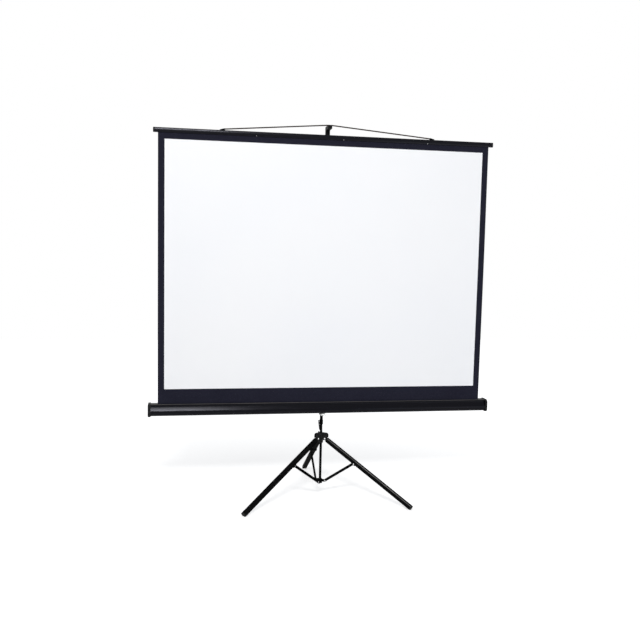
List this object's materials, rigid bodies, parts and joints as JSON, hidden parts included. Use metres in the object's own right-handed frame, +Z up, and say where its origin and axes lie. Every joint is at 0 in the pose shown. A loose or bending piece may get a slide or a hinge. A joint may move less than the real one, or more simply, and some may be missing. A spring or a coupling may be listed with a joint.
{
  "type": "tripod projection screen",
  "caption": "Roll-up projection screen: white viewing fabric drawn up from a tubular case, hung by a cord from a telescoping mast, on a folding tripod stand with braced legs.",
  "frame": {"origin": "on the floor, under the middle of the object's bounding box", "axes": "+Z up the pole, +X to the right as the viewing face is seen, +Y from the viewing face towards the rear leg"},
  "size_m": [1.8706, 0.7954, 2.0157],
  "materials": {
    "black_paint": "satin black paint",
    "black_plastic": "satin black moulding",
    "zinc_plate": "zinc plated",
    "bright_steel": "bright steel",
    "foot_rubber": "matt black rubber",
    "black_aluminium": "black coated extrusion",
    "black_fabric": "matt black backing",
    "white_coating": "matt white viewing coating",
    "cord_yarn": "braided cord"
  },
  "bodies": {
    "stand": {"pole_tube": "black_paint", "pole_foot_bush": "black_plastic", "mast_clamp": "black_plastic", "height_clamp": "black_paint", "clamp_lever_pin": "bright_steel", "leg_hub": "black_paint", "leg_pivot_pin_left": "bright_steel", "leg_pivot_pin_right": "bright_steel", "leg_pivot_pin_rear": "bright_steel", "hub_set_screw": "bright_steel"},
    "mast_knob": {"mast_lock_knob": "black_plastic"},
    "clamp_lever": {"clamp_lever": "black_plastic"},
    "leg_left": {"leg_tube_left": "black_paint", "leg_knuckle_left": "black_plastic", "foot_cap_left": "foot_rubber", "leg_clip_left": "black_paint"},
    "leg_right": {"leg_tube_right": "black_paint", "leg_knuckle_right": "black_plastic", "foot_cap_right": "foot_rubber", "leg_clip_right": "black_paint"},
    "leg_rear": {"leg_tube_rear": "black_paint", "leg_knuckle_rear": "black_plastic", "foot_cap_rear": "foot_rubber", "leg_clip_rear": "black_paint"},
    "collar": {"lower_collar": "black_paint", "collar_rod": "bright_steel", "collar_rivet_left": "bright_steel", "collar_rivet_right": "bright_steel", "collar_rivet_rear": "bright_steel"},
    "brace_left": {"brace_strip_left": "black_paint", "brace_rivet_left": "bright_steel"},
    "brace_right": {"brace_strip_right": "black_paint", "brace_rivet_right": "bright_steel"},
    "brace_rear": {"brace_strip_rear": "black_paint", "brace_rivet_rear": "bright_steel"},
    "carriage": {"pole_carrier": "black_paint", "case_saddle": "black_paint", "case_pivot_stud": "bright_steel", "latch_pin": "bright_steel", "case_shell": "black_aluminium", "case_cap_left": "black_plastic", "case_cap_right": "black_plastic", "spring_arbor": "bright_steel"},
    "latch": {"case_latch": "zinc_plate"},
    "roller": {"roller_tube": "zinc_plate", "roller_plug_left": "black_plastic", "roller_plug_right": "black_plastic", "roller_spring": "bright_steel"},
    "mast": {"mast_tube": "black_paint", "mast_glide": "black_plastic", "mast_hook": "black_plastic", "top_bar": "black_aluminium", "top_bar_cap_left": "black_plastic", "top_bar_cap_right": "black_plastic", "hanger_lug_left": "black_paint", "hanger_lug_right": "black_paint", "hanger_cord": "cord_yarn", "screen_fabric": "black_fabric", "viewing_surface": "white_coating"}
  },
  "joints": [
    {"name": "rear_leg_fold", "type": "hinge", "parent": "stand", "child": "leg_rear", "pos_m": [0, -0.10146, 0.33063], "axis": [-1, 0, 0], "range_deg": [0, 52]},
    {"name": "left_leg_fold", "type": "hinge", "parent": "stand", "child": "leg_left", "pos_m": [-0.02165, -0.13896, 0.33063], "axis": [0.5, -0.866, 0], "range_deg": [0, 52]},
    {"name": "right_leg_fold", "type": "hinge", "parent": "stand", "child": "leg_right", "pos_m": [0.02165, -0.13896, 0.33063], "axis": [0.5, 0.866, 0], "range_deg": [0, 52]},
    {"name": "collar_slide", "type": "slide", "parent": "stand", "child": "collar", "axis": [0, 0, 1], "range_m": [-0.1737, 0]},
    {"name": "rear_brace_fold", "type": "hinge", "parent": "collar", "child": "brace_rear", "pos_m": [0, -0.10146, 0.08828], "axis": [1, 0, 0], "range_deg": [0, 52]},
    {"name": "left_brace_fold", "type": "hinge", "parent": "collar", "child": "brace_left", "pos_m": [-0.02165, -0.13896, 0.08828], "axis": [-0.5, 0.866, 0], "range_deg": [0, 52]},
    {"name": "right_brace_fold", "type": "hinge", "parent": "collar", "child": "brace_right", "pos_m": [0.02165, -0.13896, 0.08828], "axis": [-0.5, -0.866, 0], "range_deg": [0, 52]},
    {"name": "clamp_lever_swing", "type": "hinge", "parent": "stand", "child": "clamp_lever", "pos_m": [-0.014, -0.12646, 0.425], "axis": [0, 1, 0], "range_deg": [0, 95]},
    {"name": "mast_knob_turn", "type": "hinge", "parent": "stand", "child": "mast_knob", "pos_m": [0, -0.11231, 1.25873], "axis": [0, 1, 0], "range_deg": [0, 270]},
    {"name": "case_height_slide", "type": "slide", "parent": "stand", "child": "carriage", "axis": [0, 0, 1], "range_m": [0, 0.22]},
    {"name": "latch_press", "type": "hinge", "parent": "carriage", "child": "latch", "pos_m": [-0.004, -0.13976, 0.4644], "axis": [0, 1, 0], "range_deg": [0, 20], "stiffness_Nm_per_rad": 0.03, "springref_deg": -11.46},
    {"name": "mast_slide", "type": "slide", "parent": "carriage", "child": "mast", "axis": [0, 0, 1], "range_m": [-0.58, 0], "deforming": ["screen_fabric", "viewing_surface"]},
    {"name": "roller_spin", "type": "hinge", "parent": "carriage", "child": "roller", "pos_m": [0, -0.16791, 0.514], "axis": [1, 0, 0], "range_deg": [0, 2010]}
  ],
  "couplings": [
    {"joint": "left_leg_fold", "follows": "rear_leg_fold", "ratio": 1},
    {"joint": "right_leg_fold", "follows": "rear_leg_fold", "ratio": 1},
    {"joint": "collar_slide", "follows": "rear_leg_fold", "m_per_rad": -0.19126},
    {"joint": "rear_brace_fold", "follows": "rear_leg_fold", "ratio": 1},
    {"joint": "left_brace_fold", "follows": "rear_leg_fold", "ratio": 1},
    {"joint": "right_brace_fold", "follows": "rear_leg_fold", "ratio": 1},
    {"joint": "roller_spin", "follows": "mast_slide", "rad_per_m": -60.42}
  ]
}
